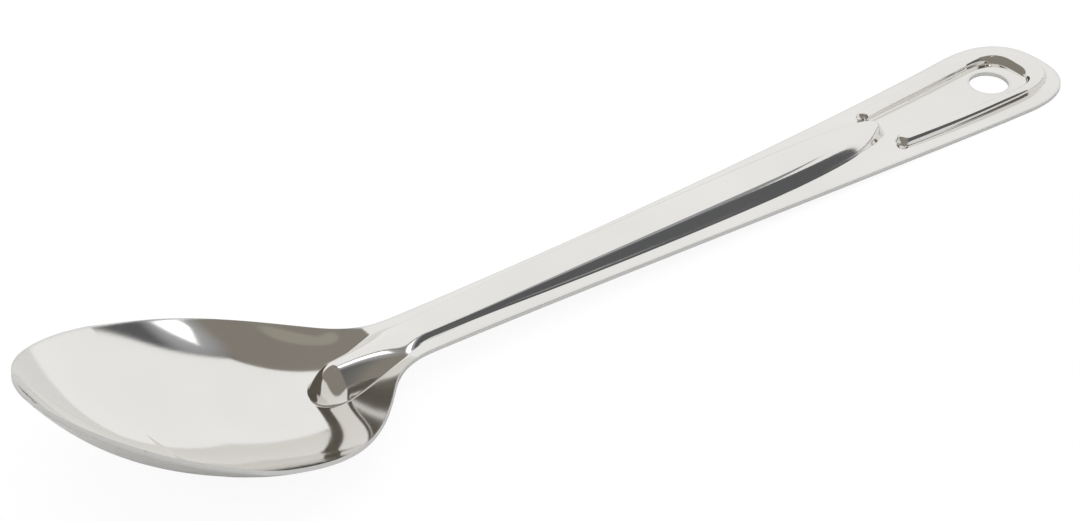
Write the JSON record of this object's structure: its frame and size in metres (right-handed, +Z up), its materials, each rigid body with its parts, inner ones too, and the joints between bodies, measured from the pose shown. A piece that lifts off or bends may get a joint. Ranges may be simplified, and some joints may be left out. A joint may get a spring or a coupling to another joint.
{
  "type": "serving spoon",
  "caption": "Pressed metal serving spoon with a deep tilted bowl, a raised tongue in the throat, a ribbed handle and a flat hanging end with a beaded hole.",
  "frame": {"origin": "middle of the spoon's length and width, on the table it lies on, so the bowl's underside and the flat tail are at Z 0", "axes": "+X from the bowl's tip to the hanging end, +Y across the spoon, +Z up out of the open bowl"},
  "size_m": [0.33, 0.0728, 0.038],
  "materials": {
    "polished_steel": "mirror-polished stainless steel sheet with a faint tumbled grain and a fine ground edge"
  },
  "bodies": {
    "root": {"bowl": "polished_steel", "neck": "polished_steel", "handle_shaft": "polished_steel", "hanging_end": "polished_steel"}
  },
  "joints": []
}
